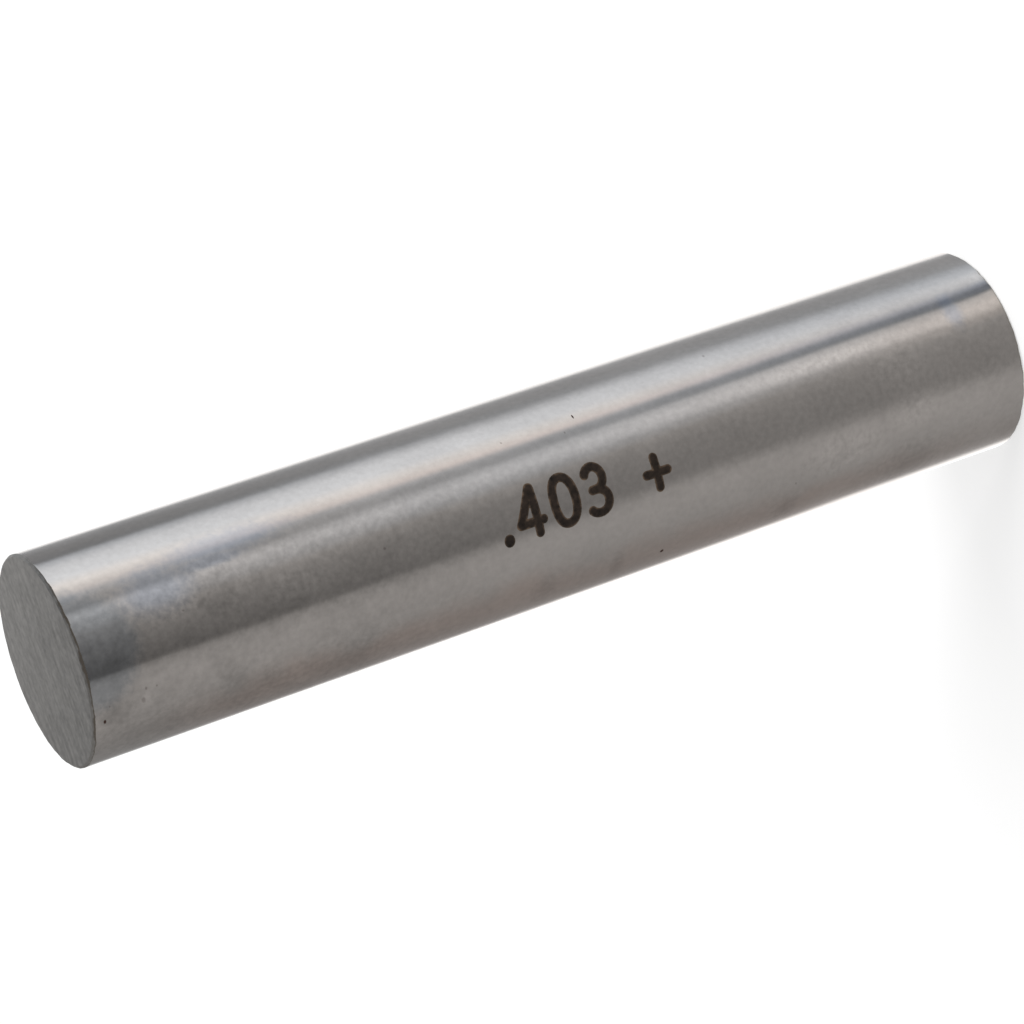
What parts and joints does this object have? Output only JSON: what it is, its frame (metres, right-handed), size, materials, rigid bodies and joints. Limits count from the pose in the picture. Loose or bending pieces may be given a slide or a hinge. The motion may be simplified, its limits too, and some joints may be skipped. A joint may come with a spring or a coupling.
{
  "type": "pin gauge",
  "caption": "Plain cylindrical steel pin gauge with flat ground ends and a small edge break, for checking the size of a hole.",
  "frame": {"origin": "centre of the lower end face, which the pin stands on", "axes": "+Z along the pin's axis from the plain lower end to the upper end, -Y towards the side that carries the size mark"},
  "size_m": [0.0102, 0.0102, 0.0508],
  "materials": {
    "ground_steel": "hardened tool steel, ground and lapped round the axis, ends ground straight across"
  },
  "bodies": {
    "root": {"gauge_pin": "ground_steel"}
  },
  "joints": []
}
